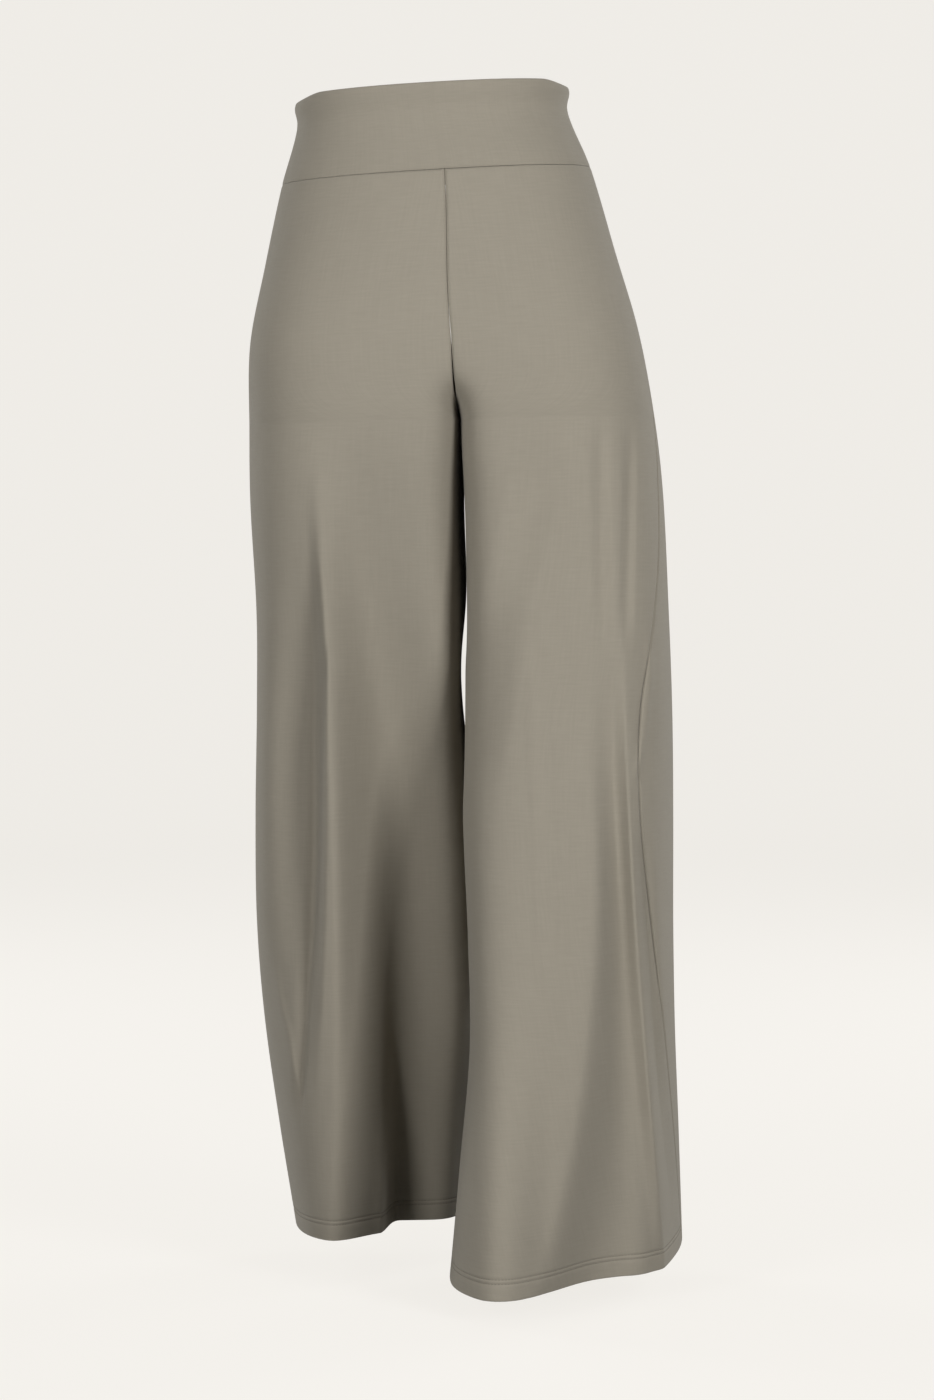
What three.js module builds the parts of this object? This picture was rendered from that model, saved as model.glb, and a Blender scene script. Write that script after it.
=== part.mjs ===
// Wide-leg yoga pants in soft jersey, worn, with the left leg taking a step forward.
// Millimetres, +Z up. The front faces -Y and the wearer's left is +X.
// The origin is the middle of the waist, at the narrowest line of the waistband.
import * as THREE from 'three';

// ---- Driving dimensions ----------------------------------------------------------------------
const CLOTH = 1.5;             // wall of one layer of jersey
const BAND_WALL = 3;           // the waistband is folded, so it has two layers
const HEM_WALL = 3;            // the hem is turned up inside, so it has two layers
const HEM_TURN = 20;           // depth of the turned-up hem
const SEAM_GAP = 0.3;          // clear line between neighbouring pieces
const BAND_TOP = 22;           // top edge of the waistband above the origin
const WAIST_SEAM = -54;        // seam between the waistband and the legs
const FORK_START = -140;       // where the seat starts to part into two legs
const CROTCH = -268;           // lowest point of the crotch seam
const WAIST_TILT = -0.058;     // the right hip stands higher: rise for each millimetre along X
const LEVEL_HIP = -420;        // the tilt has faded out at this level
const HEM_FADE = 300;          // height over which the rise of the hem towards the front fades out
const LEAN_FROM = 40;          // the gap between the legs slants about this line along Y
const AXIS_LEVEL = -400;       // from here down each leg is fullest at its own middle
const CORNER_DIP = 5;          // the top edge of the waistband dips this much at its two sides
const CORNER_FROM = 96;        // distance from the middle at which the dip starts
const CORNER_REACH = 26;       // width of the dip

const CLOTH_COLOUR = 0x9c9586;

// ---- Tables ----------------------------------------------------------------------------------
const table = (columns, rows) => rows.map(
  (row) => Object.fromEntries(columns.map((column, k) => [column, row[k]])),
);

// Centre line of the body: where the centre seams and the gap between the legs lie along X.
const MIDLINE = table(['level', 'mid'], [
  [30, 0],
  [0, -2],
  [-54, -11],
  [-160, -14],
  [-232, -20],
  [-268, -25],
]);

// The outline at each measured level: the side along X, the back and the front along Y. skew: how far
// the outer side is turned towards the front.
const OUTLINE = {
  left: table(['level', 'outer', 'back', 'front', 'skew'], [
    [26, 121, 93, -90, 0],
    [0, 118, 88, -86, 0],
    [-54, 132, 100, -96, 0],
    [-126, 147, 113, -103, 0],
    [-196, 160, 120, -106, 0],
    [-272, 161, 112, -110, 0],
    [-340, 161, 99, -122, 0],
    [-440, 157, 78, -150, 0],
    [-520, 158, 58, -178, 0],
    [-620, 161, 34, -214, 0],
    [-720, 161, 4, -250, 0],
    [-820, 155, -28, -288, 0],
    [-920, 143, -62, -328, 0],
    [-1012, 130, -92, -362, 0],
  ]),
  right: table(['level', 'outer', 'back', 'front', 'skew'], [
    [26, -121, 93, -90, 0],
    [0, -118, 88, -86, 0],
    [-54, -139, 100, -96, 0],
    [-126, -160, 113, -103, 0],
    [-196, -181, 120, -106, 0],
    [-272, -196, 114, -110, 0],
    [-340, -204, 109, -116, 0],
    [-440, -209, 107, -124, 0],
    [-520, -212, 105, -132, 4],
    [-620, -214, 104, -142, 10],
    [-720, -215, 103, -153, 20],
    [-820, -218, 102, -165, 38],
    [-920, -223, 100, -178, 66],
    [-1032, -229, 92, -192, 110],
  ]),
};

// The inside of each leg below the crotch: where it lies along X, and how it slants along Y.
const INSIDE = {
  left: table(['level', 'inner', 'lean'], [
    [-196, -24.8, 0],
    [-268, -24.8, 0.05],
    [-340, -22, 0.07],
    [-420, -23, 0.07],
    [-480, -25.5, 0],
    [-510, -25, 0.01],
    [-570, -23, 0.06],
    [-720, -26, 0.06],
    [-820, -27, 0.055],
    [-920, -20, 0.05],
    [-1012, -17, 0.03],
  ]),
  right: table(['level', 'inner', 'lean'], [
    [-196, -25.2, 0],
    [-268, -25.2, 0.05],
    [-340, -28.5, 0.07],
    [-420, -29.5, 0.07],
    [-480, -29.5, 0],
    [-510, -28.5, 0.01],
    [-570, -26.5, 0.06],
    [-620, -25.5, 0.06],
    [-720, -30, 0.06],
    [-820, -31.5, 0.055],
    [-920, -23.5, 0.05],
    [-1032, -13.5, 0.03],
  ]),
};

// How boxy the section is on its outer and inner half, where 2 is an ellipse, and where the side
// seam lies, in degrees round the leg from the inseam through the back.
const SHAPE = {
  left: table(['level', 'outside', 'inside', 'seam'], [
    [26, 2.2, 2.2, 182],
    [-54, 2.35, 2.35, 182],
    [-196, 2.75, 2.75, 184],
    [-240, 2.6, 3.6, 184],
    [-272, 2.5, 4.2, 185],
    [-440, 2.3, 3.6, 186],
    [-620, 2.1, 3.1, 188],
    [-820, 2.3, 3, 190],
    [-1012, 2.8, 3, 192],
  ]),
  right: table(['level', 'outside', 'inside', 'seam'], [
    [26, 2.2, 2.2, 180],
    [-54, 2.35, 2.35, 178],
    [-196, 2.75, 2.75, 172],
    [-240, 2.6, 3.6, 168],
    [-272, 2.5, 4.2, 164],
    [-340, 2.4, 4, 150],
    [-440, 2.5, 3.6, 133],
    [-520, 2.5, 3.3, 122],
    [-620, 2.4, 3.4, 122],
    [-720, 2.3, 3.9, 128],
    [-820, 2.3, 4.3, 137],
    [-920, 2.2, 4.4, 149],
    [-1032, 2.2, 4.4, 164],
  ]),
};

// The hem rises from the back to the front of each leg.
const HEMS = {
  left: { back: -1012, rise: 12 },
  right: { back: -1032, rise: 20 },
};

// One row for each large fold: a trough where depth is negative, else a ridge. It runs between two
// levels on one face and lies at `top`, `middle` and `hem` across it. `minus` and `plus` are its
// reach to its two sides, and `spread` the share of that reach at its top. It is deepest at `peak` of
// its length and keeps `end` of its depth. `late` delays its growth, and `crisp` sharpens its line.
const FOLD_COLUMNS = [
  'face', 'from', 'to', 'top', 'middle', 'hem', 'minus', 'plus', 'spread', 'depth', 'peak', 'end',
  'late', 'crisp',
];
const FOLDS = {
  left: table(FOLD_COLUMNS, [
    ['back', -260, -1012, 62, 36, 34, 110, 66, 0.74, -92, 0.64, 0.55, 0.8, 0],
    ['back', -700, -1012, 31, 32, 34, 90, 17, 1, -70, 1, 1, 1, 0],
    ['back', -290, -905, 110, 106, 122, 14, 56, 1, -38, 0.5, 0, 1, 0],
    ['front', -230, -1012, 70, 64, 60, 34, 34, 1, -13, 1, 1, 1, 0],
    ['front', -320, -1012, 112, 112, 108, 26, 26, 1, -8, 0.8, 0.8, 1, 0],
    ['outer', -420, -1012, -70, -170, -270, 40, 40, 1, -8, 1, 1, 1, 0],
  ]),
  right: table(FOLD_COLUMNS, [
    ['back', -420, -1032, -134, -169, -146, 60, 58, 0.36, -34, 1, 1, 1, 0],
    ['back', -400, -980, -150, -163, -168, 14, 18, 1, -6, 0.5, 0.2, 1, 0.3],
    ['back', -400, -1020, -163, -178, -207, 16, 12, 1, 11, 0.5, 0.8, 1, 0.6],
    ['back', -700, -1032, -70, -62, -58, 45, 40, 1, 20, 1, 1, 1, 0],
    ['front', -240, -1032, -80, -82, -84, 32, 32, 1, -14, 1, 1, 1, 0],
    ['front', -300, -1032, -140, -150, -160, 34, 34, 1, -16, 0.8, 0.9, 1, 0],
  ]),
};

// A fold has its full depth where the cloth faces its way by 1 / FACING_REACH or more.
const FACING_REACH = 1.4;

// The troughs of the back stay within this share of the way to the middle of the section. A higher
// power starts to hold them back later.
const ROOM_SHARE = 0.8;
const ROOM_POWER = 6;

// Across the waistband, from its folded top edge down to the seam. flare: how far it stands out
// there. wall: its thickness, less on the rounded edge.
const BAND_ROWS = table(['level', 'flare', 'wall'], [
  [BAND_TOP, -1.6, 1.2],
  [BAND_TOP - 1.6, 0.2, BAND_WALL],
  [BAND_TOP - 6, 1.4, BAND_WALL],
  [8, 1.5, BAND_WALL],
  [-4, 0, BAND_WALL],
  [-30, 0, BAND_WALL],
  [WAIST_SEAM + SEAM_GAP / 2, 0, BAND_WALL],
]);

// ---- Fineness of the meshes ------------------------------------------------------------------
const SAMPLES = 240;           // points in the line of one section
const TANGENT_STEP = 2;        // half of the stretch that gives the direction of the cloth
const HALVINGS = 40;           // steps in the search for the centre line
const SEARCH_MARGIN = 0.3;     // the search for it ends this far past the middle of a face, in radians
const PANEL_COLUMNS = 20;
const BAND_COLUMNS = 44;
const SEAT_ROWS = 5;
const FORK_ROWS = 6;
const FORK_CROWDING = 1.6;     // rows stand closer together towards the crotch
const LEG_ROWS = 12;
const TURN_STEP = 0.5;         // height of the step where the turned-up hem starts

// ---- Small tools -----------------------------------------------------------------------------
const SIDES = { left: 1, right: -1 };
const FULL_TURN = 2 * Math.PI;

const mix = (a, b, t) => a + (b - a) * t;
const clamp01 = (t) => Math.min(1, Math.max(0, t));
const smooth = (t) => clamp01(t) ** 2 * (3 - 2 * clamp01(t));
const smoother = (t) => clamp01(t) ** 3 * (10 - 15 * clamp01(t) + 6 * clamp01(t) ** 2);

// A smooth curve through one column of a table whose rows run downwards.
function along(rows, column, level) {
  const last = rows.length - 1;
  if (level >= rows[0].level) return rows[0][column];
  if (level <= rows[last].level) return rows[last][column];
  const i = rows.findIndex((row, k) => k < last && level >= rows[k + 1].level);
  const slope = (k) => {
    const above = rows[Math.max(0, k - 1)];
    const below = rows[Math.min(last, k + 1)];
    return (below[column] - above[column]) / (below.level - above.level);
  };
  const span = rows[i + 1].level - rows[i].level;
  const t = (level - rows[i].level) / span;
  const bend = t * (1 - t) * span;
  return mix(rows[i][column], rows[i + 1][column], smooth(t))
    + bend * ((1 - t) * slope(i) - t * slope(i + 1));
}

// ---- One section of one leg ------------------------------------------------------------------
// The plain section, before its folds: a rounded box that starts as half of the body, mirrored in
// the centre line, and parts from it between the seat and the crotch. Its outer and inner halves
// meet at an axis, which moves smoothly from the centre line to the middle of the leg.
function plainSection(side, level) {
  const mid = along(MIDLINE, 'mid', level);
  const outer = along(OUTLINE[side], 'outer', level);
  const parted = smoother((FORK_START - level) / (FORK_START - CROTCH));
  const inner = level > CROTCH
    ? mix(2 * mid - outer, mid, parted)
    : along(INSIDE[side], 'inner', level);
  const legMiddle = (along(INSIDE[side], 'inner', level) + outer) / 2;
  const axisX = mix(mid, legMiddle, smooth((WAIST_SEAM - level) / (WAIST_SEAM - AXIS_LEVEL)));
  const back = along(OUTLINE[side], 'back', level);
  const front = along(OUTLINE[side], 'front', level);
  return {
    mid,
    axisX,
    centreY: (back + front) / 2,
    halfOut: Math.abs(outer - axisX),
    halfIn: Math.abs(axisX - inner),
    halfY: (back - front) / 2,
    outside: along(SHAPE[side], 'outside', level),
    inside: along(SHAPE[side], 'inside', level),
    lean: along(INSIDE[side], 'lean', level),
    skew: along(OUTLINE[side], 'skew', level),
  };
}

function plainPoint(side, plain, turn) {
  const c = Math.cos(turn);
  const s = Math.sin(turn);
  const square = c > 0 ? plain.inside : plain.outside;
  const halfX = c > 0 ? plain.halfIn : plain.halfOut;
  const box = Math.abs(c / halfX) ** square + Math.abs(s / plain.halfY) ** square;
  const reach = box ** (-1 / square);
  const outwards = (1 - c) / 2;
  const offCentre = reach * s;
  return {
    x: plain.axisX - SIDES[side] * reach * c,
    y: plain.centreY + offCentre - plain.skew * outwards ** 2,
    offCentre,
    outward: -c,
    backward: s,
  };
}

// A curve through three places, at the start, the middle and the end of a run from 0 to 1.
function throughThree(start, middle, end, run) {
  return start * (1 - run) * (1 - 2 * run) + middle * 4 * run * (1 - run) + end * run * (2 * run - 1);
}

// How far one fold moves a point, along the normal of the face that it lies on.
function foldDepth(fold, point, level) {
  const run = clamp01((fold.from - level) / (fold.from - fold.to));
  const fading = fold.peak < 1 ? (run - fold.peak) / (1 - fold.peak) : 0;
  const grown = run < fold.peak ? smooth(run / fold.peak) ** fold.late : mix(1, fold.end, smooth(fading));
  const across = fold.face === 'outer' ? point.y : point.x;
  const offset = across - throughThree(fold.top, fold.middle, fold.hem, run);
  const reach = (offset < 0 ? fold.minus : fold.plus) * mix(fold.spread, 1, run * run);
  const q = Math.min(1, Math.abs(offset) / reach);
  const profile = mix((1 - q * q) ** 2, (1 - q) ** 2, fold.crisp);
  const facing = { back: point.backward, front: -point.backward, outer: point.outward }[fold.face];
  return fold.depth * grown * profile * smooth(facing * FACING_REACH);
}

// A trough of the back never reaches the far side of the leg, however many folds add up.
function limited(pull, room) {
  const share = Math.max(pull, 0) / room;
  return pull / (1 + share ** ROOM_POWER) ** (1 / ROOM_POWER);
}

function foldedPoint(side, plain, turn, level) {
  const point = plainPoint(side, plain, turn);
  let { x, y } = point;
  let pull = 0;
  for (const fold of FOLDS[side]) {
    const depth = foldDepth(fold, point, level);
    if (fold.face === 'back') pull -= depth;
    if (fold.face === 'front') y -= depth;
    if (fold.face === 'outer') x += SIDES[side] * depth;
  }
  if (pull !== 0) y -= limited(pull, ROOM_SHARE * point.offCentre);
  const inwards = (1 - point.outward) / 2;
  x += plain.lean * (point.y - LEAN_FROM) * inwards;
  return [x, y];
}

// Where the section meets the centre line, between the body above and the crotch below.
function centreTurn(side, plain, nearTurn, farTurn) {
  const past = (turn) => SIDES[side] * (plainPoint(side, plain, turn).x - plain.mid) > SEAM_GAP / 2;
  if (past(nearTurn)) return nearTurn;
  let cut = nearTurn;
  let cloth = farTurn;
  for (let step = 0; step < HALVINGS; step++) {
    const middle = (cut + cloth) / 2;
    if (past(middle)) cloth = middle;
    else cut = middle;
  }
  return cloth;
}

// The line of cloth round one section, and its length so far at each point, measured on the plain
// section, so that a column of points stays on its fold. Below the crotch the line is closed, and
// above it runs from the centre back to the centre front.
function sectionLine(side, level) {
  const plain = plainSection(side, level);
  const closed = level <= CROTCH;
  const start = closed ? 0 : centreTurn(side, plain, 0, Math.PI / 2 + SEARCH_MARGIN);
  const end = closed ? FULL_TURN : centreTurn(side, plain, FULL_TURN, 1.5 * Math.PI - SEARCH_MARGIN);
  const seamTurn = THREE.MathUtils.degToRad(along(SHAPE[side], 'seam', level));
  const points = [];
  const length = [];
  let before = plainPoint(side, plain, start);
  for (let k = 0; k <= SAMPLES; k++) {
    const turn = mix(start, end, k / SAMPLES);
    const here = plainPoint(side, plain, turn);
    points.push(foldedPoint(side, plain, turn, level));
    length.push((length[k - 1] ?? 0) + Math.hypot(here.x - before.x, here.y - before.y));
    before = here;
  }
  const seamSample = SAMPLES * (seamTurn - start) / (end - start);
  const below = Math.floor(seamSample);
  const seam = mix(length[below], length[below + 1], seamSample - below);
  return { points, length, closed, seam, total: length[SAMPLES] };
}

function pointOnLine(line, goal) {
  const place = line.closed ? (goal + line.total) % line.total : Math.min(line.total, Math.max(0, goal));
  let k = 1;
  while (k < SAMPLES && line.length[k] < place) k++;
  const t = (place - line.length[k - 1]) / (line.length[k] - line.length[k - 1]);
  return [0, 1].map((axis) => mix(line.points[k - 1][axis], line.points[k][axis], t));
}

// The height of a point: the waist is tilted, and the hem rises towards the front.
function height(side, level, x, y) {
  const tilt = WAIST_TILT * clamp01((level - LEVEL_HIP) / (WAIST_SEAM - LEVEL_HIP));
  const hem = HEMS[side];
  const back = along(OUTLINE[side], 'back', level);
  const front = along(OUTLINE[side], 'front', level);
  const near = smooth((hem.back + HEM_FADE - level) / HEM_FADE);
  return level + tilt * x + hem.rise * near * clamp01((back - y) / (back - front));
}

// ---- Solids ----------------------------------------------------------------------------------
function subtract(a, b) {
  return [a[0] - b[0], a[1] - b[1], a[2] - b[2]];
}

function cross(a, b) {
  return [a[1] * b[2] - a[2] * b[1], a[2] * b[0] - a[0] * b[2], a[0] * b[1] - a[1] * b[0]];
}

// Moves each point of a grid inwards by the wall of its row. `tangents` runs along the rows, and
// outwards is +1 or -1, the sense in which the rows and columns give the outer normal. The first and
// last rows stay at their height, so that the edges of a piece are square.
function movedInwards(grid, tangents, walls, outwards) {
  return grid.map((row, j) => row.map((point, i) => {
    const above = grid[Math.max(0, j - 1)][i];
    const below = grid[Math.min(grid.length - 1, j + 1)][i];
    const normal = cross(tangents[j][i], subtract(below, above));
    const size = Math.hypot(...normal) * outwards;
    const moved = point.map((value, axis) => value - normal[axis] / size * walls[j]);
    const edge = j === 0 || j === grid.length - 1;
    return edge ? [moved[0], moved[1], point[2]] : moved;
  }));
}

// A closed wall between an outer and an inner grid of points.
function wall(outer, inner, outwards, closed) {
  const rows = outer.length;
  const columns = outer[0].length;
  const positions = [...outer.flat(2), ...inner.flat(2)];
  const index = [];
  const at = (layer, j, i) => layer * rows * columns + j * columns + (i % columns);
  const quad = (a, b, c, d) => {
    if (outwards > 0) index.push(a, b, c, a, c, d);
    else index.push(a, c, b, a, d, c);
  };
  const steps = closed ? columns : columns - 1;
  for (let i = 0; i < steps; i++) {
    for (let j = 0; j + 1 < rows; j++) {
      quad(at(0, j, i), at(0, j, i + 1), at(0, j + 1, i + 1), at(0, j + 1, i));
      quad(at(1, j, i), at(1, j + 1, i), at(1, j + 1, i + 1), at(1, j, i + 1));
    }
    quad(at(0, 0, i + 1), at(0, 0, i), at(1, 0, i), at(1, 0, i + 1));
    quad(at(0, rows - 1, i), at(0, rows - 1, i + 1), at(1, rows - 1, i + 1), at(1, rows - 1, i));
  }
  if (!closed) {
    for (let j = 0; j + 1 < rows; j++) {
      const end = columns - 1;
      quad(at(0, j, 0), at(0, j + 1, 0), at(1, j + 1, 0), at(1, j, 0));
      quad(at(0, j, end), at(1, j, end), at(1, j + 1, end), at(0, j + 1, end));
    }
  }
  const geometry = new THREE.BufferGeometry();
  geometry.setAttribute('position', new THREE.Float32BufferAttribute(positions, 3));
  geometry.setIndex(index);
  geometry.computeVertexNormals();
  return geometry;
}

// ---- The leg panels --------------------------------------------------------------------------
// Levels of the rows: even over the seat, close together at the crotch, even down the leg, and one
// more row at the top of the turned-up hem.
function panelLevels(side) {
  const levels = [];
  const top = WAIST_SEAM - SEAM_GAP / 2;
  for (let k = 0; k < SEAT_ROWS; k++) levels.push(mix(top, FORK_START, k / SEAT_ROWS));
  for (let k = 0; k < FORK_ROWS; k++) {
    levels.push(mix(CROTCH, FORK_START, (1 - k / FORK_ROWS) ** FORK_CROWDING));
  }
  const turn = HEMS[side].back + HEM_TURN;
  for (let k = 0; k <= LEG_ROWS; k++) levels.push(mix(CROTCH, turn, k / LEG_ROWS));
  levels.push(turn - TURN_STEP, HEMS[side].back);
  return levels;
}

function panel(side, face) {
  const grid = [];
  const tangents = [];
  const walls = [];
  const turn = HEMS[side].back + HEM_TURN;
  for (const level of panelLevels(side)) {
    const line = sectionLine(side, level);
    const start = (face === 'back' ? 0 : line.seam) + SEAM_GAP / 2;
    const end = (face === 'back' ? line.seam : line.total) - SEAM_GAP / 2;
    const row = [];
    const rowTangents = [];
    for (let i = 0; i <= PANEL_COLUMNS; i++) {
      const goal = mix(start, end, i / PANEL_COLUMNS);
      const [x, y] = pointOnLine(line, goal);
      const seam = i === 0 ? start - SEAM_GAP / 2 : end + SEAM_GAP / 2;
      const heading = i === 0 || i === PANEL_COLUMNS ? seam : goal;
      const before = pointOnLine(line, heading - TANGENT_STEP);
      const after = pointOnLine(line, heading + TANGENT_STEP);
      row.push([x, y, height(side, level, x, y)]);
      rowTangents.push([after[0] - before[0], after[1] - before[1], 0]);
    }
    grid.push(row);
    tangents.push(rowTangents);
    walls.push(level < turn ? HEM_WALL : CLOTH);
  }
  const outwards = SIDES[side];
  return wall(grid, movedInwards(grid, tangents, walls, outwards), outwards, false);
}

// ---- The waistband ---------------------------------------------------------------------------
// The folded top edge dips at the two sides of the waist, so that its corners are round.
function cornerDip(level, x) {
  return CORNER_DIP * smooth(level / BAND_TOP) * smooth((Math.abs(x) - CORNER_FROM) / CORNER_REACH);
}

function waistband() {
  const grid = BAND_ROWS.map(({ level, flare }) => {
    const row = [];
    for (let i = 0; i < BAND_COLUMNS; i++) {
      const turn = FULL_TURN * i / BAND_COLUMNS;
      const side = Math.sin(turn) >= 0 ? 'left' : 'right';
      const legTurn = Math.PI / 2 + (side === 'left' ? turn : FULL_TURN - turn);
      const point = plainPoint(side, plainSection(side, level), legTurn);
      const away = Math.hypot(point.x, point.y);
      const x = point.x * (1 + flare / away);
      const y = point.y * (1 + flare / away);
      row.push([x, y, height(side, level, x, y) - cornerDip(level, x)]);
    }
    return row;
  });
  const tangents = grid.map((row) => row.map((point, i) => {
    const before = row[(i + BAND_COLUMNS - 1) % BAND_COLUMNS];
    const after = row[(i + 1) % BAND_COLUMNS];
    return subtract(after, before);
  }));
  const walls = BAND_ROWS.map((row) => row.wall);
  return wall(grid, movedInwards(grid, tangents, walls, 1), 1, true);
}

// ---- The garment -----------------------------------------------------------------------------
function piece(name, geometry) {
  const jersey = new THREE.MeshStandardMaterial({ color: CLOTH_COLOUR, roughness: 0.9, metalness: 0 });
  const mesh = new THREE.Mesh(geometry, jersey);
  mesh.name = name;
  return mesh;
}

const pants = new THREE.Group();
pants.add(piece('waistband', waistband()));
for (const side of Object.keys(SIDES)) {
  for (const face of ['back', 'front']) pants.add(piece(`${side}_${face}`, panel(side, face)));
}

export default pants;
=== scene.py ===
# %% [markdown]
# # Wide-leg yoga pants, worn, in mid step
# These pants are five pieces of soft jersey: a deep folded waistband and four leg panels, joined at the
# centre back, the centre front, two side seams and two inseams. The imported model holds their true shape
# as coarse walls. This lesson makes the cloth that is seen: smooth thin shells on the same form, with
# their folds, turned hems, stitches and knit.

# %% Load the fixed frame
import math

import bpy
import numpy as np
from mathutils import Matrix, Vector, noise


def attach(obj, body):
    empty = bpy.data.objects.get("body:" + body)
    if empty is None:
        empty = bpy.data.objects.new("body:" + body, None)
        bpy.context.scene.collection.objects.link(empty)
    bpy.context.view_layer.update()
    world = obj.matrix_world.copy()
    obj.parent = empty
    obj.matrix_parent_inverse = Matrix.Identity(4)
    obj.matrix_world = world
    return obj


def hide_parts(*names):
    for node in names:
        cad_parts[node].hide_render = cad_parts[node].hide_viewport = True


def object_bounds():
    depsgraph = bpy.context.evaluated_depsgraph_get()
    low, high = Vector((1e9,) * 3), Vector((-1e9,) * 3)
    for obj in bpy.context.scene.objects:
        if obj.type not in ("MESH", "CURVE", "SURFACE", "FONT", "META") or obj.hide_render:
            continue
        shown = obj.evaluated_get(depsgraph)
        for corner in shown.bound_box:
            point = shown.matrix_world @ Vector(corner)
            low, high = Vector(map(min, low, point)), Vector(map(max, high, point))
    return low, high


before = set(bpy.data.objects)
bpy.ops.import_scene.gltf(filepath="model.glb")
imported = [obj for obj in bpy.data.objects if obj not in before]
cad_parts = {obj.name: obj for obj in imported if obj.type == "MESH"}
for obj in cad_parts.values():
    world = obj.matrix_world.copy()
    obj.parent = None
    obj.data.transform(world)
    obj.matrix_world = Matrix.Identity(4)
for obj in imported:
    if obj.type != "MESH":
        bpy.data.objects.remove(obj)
cad_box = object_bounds()
print("nodes:", sorted(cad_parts))

# %% [markdown]
# ## The camera
# It comes first, because everything is judged through it. It stands behind the wearer, about four metres
# away and level with the thighs, and looks slightly down. A long lens at that distance keeps the
# verticals straight and still shows that the front leg is farther away.

# %% Set up the camera
MM = 0.001
scene = bpy.context.scene


def add_camera(place, pitch_degrees, lens):
    data = bpy.data.cameras.new("camera")
    data.lens = lens
    data.sensor_width = 36.0
    data.clip_end = 60.0
    camera = bpy.data.objects.new("camera", data)
    camera.location = place
    camera.rotation_euler = (math.radians(90 - pitch_degrees), 0, math.radians(180))
    scene.collection.objects.link(camera)
    scene.camera = camera
    return camera


scene.view_settings.view_transform = "Standard"
camera = add_camera((-0.0305, 4.0, -0.343), pitch_degrees=2.45, lens=116.4)
print("camera at", tuple(round(v, 3) for v in camera.location))

# %% [markdown]
# ## Sizes and tables
# All sizes are in millimetres, as on a pattern. A leg is described by its sections: each row of a table
# is one horizontal cut, with how far the cloth reaches to the side, the inside, the back and the front,
# and how boxy it is. A smooth curve runs through each column, so a few rows describe the whole leg.

# %% The sizes of the garment
CLOTH = 0.9            # one layer of jersey
SEAM_GAP = 0.3         # clear line between two pieces at a seam
HEM_TURN = 20          # depth of the turned-up hem
WAIST_SEAM = -54       # the seam under the waistband
FORK_START = -140      # where the seat starts to part into two legs
CROTCH = -268          # the lowest point of the crotch seam
WAIST_TILT = -0.058    # the right hip stands higher
LEVEL_HIP = -420       # the tilt has faded out here
HEM_FADE = 300         # height over which the rise of the hem fades out
LEAN_FROM = 40         # the gap between the legs slants about this line along Y
AXIS_LEVEL = -400      # from here down each leg is fullest at its own middle

SIDES = {"left": 1, "right": -1}
HEMS = {"left": {"back": -1012, "rise": 12}, "right": {"back": -1032, "rise": 20}}


def table(columns, *rows):
    return [dict(zip(columns, row)) for row in rows]


MIDLINE = table(("level", "mid"), (30, 0), (0, -2), (-54, -11), (-160, -14), (-232, -20), (-268, -25))

# %% The outline at each measured level
# outer, back and front are the reach to the side, to the back and to the front. skew is how far the
# outer side is turned towards the front.
OUTLINE_COLUMNS = ("level", "outer", "back", "front", "skew")
OUTLINE = {
    "left": table(
        OUTLINE_COLUMNS,
        (26, 121, 93, -90, 0),
        (0, 118, 88, -86, 0),
        (-54, 132, 100, -96, 0),
        (-126, 147, 113, -103, 0),
        (-196, 160, 120, -106, 0),
        (-272, 161, 112, -110, 0),
        (-340, 161, 99, -122, 0),
        (-440, 157, 78, -150, 0),
        (-520, 158, 58, -178, 0),
        (-620, 161, 34, -214, 0),
        (-720, 161, 4, -250, 0),
        (-820, 155, -28, -288, 0),
        (-920, 143, -62, -328, 0),
        (-1012, 130, -92, -362, 0),
    ),
    "right": table(
        OUTLINE_COLUMNS,
        (26, -121, 93, -90, 0),
        (0, -118, 88, -86, 0),
        (-54, -139, 100, -96, 0),
        (-126, -160, 113, -103, 0),
        (-196, -181, 120, -106, 0),
        (-272, -196, 114, -110, 0),
        (-340, -204, 109, -116, 0),
        (-440, -209, 107, -124, 0),
        (-520, -212, 105, -132, 4),
        (-620, -214, 104, -142, 10),
        (-720, -215, 103, -153, 20),
        (-820, -218, 102, -165, 38),
        (-920, -223, 100, -178, 66),
        (-1032, -229, 92, -192, 110),
    ),
}

# %% The inside of each leg, and the corners of the section
# lean is how much the inside slants along Y, so that the two legs pass each other in mid step.
INSIDE = {
    "left": table(
        ("level", "inner", "lean"),
        (-196, -24.8, 0), (-268, -24.8, 0.05), (-340, -22, 0.07), (-420, -23, 0.07), (-480, -25.5, 0),
        (-510, -25, 0.01), (-570, -23, 0.06), (-720, -26, 0.06), (-820, -27, 0.055), (-920, -20, 0.05),
        (-1012, -17, 0.03),
    ),
    "right": table(
        ("level", "inner", "lean"),
        (-196, -25.2, 0), (-268, -25.2, 0.05), (-340, -28.5, 0.07), (-420, -29.5, 0.07), (-480, -29.5, 0),
        (-510, -28.5, 0.01), (-570, -26.5, 0.06), (-620, -25.5, 0.06), (-720, -30, 0.06),
        (-820, -31.5, 0.055), (-920, -23.5, 0.05), (-1032, -13.5, 0.03),
    ),
}

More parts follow.
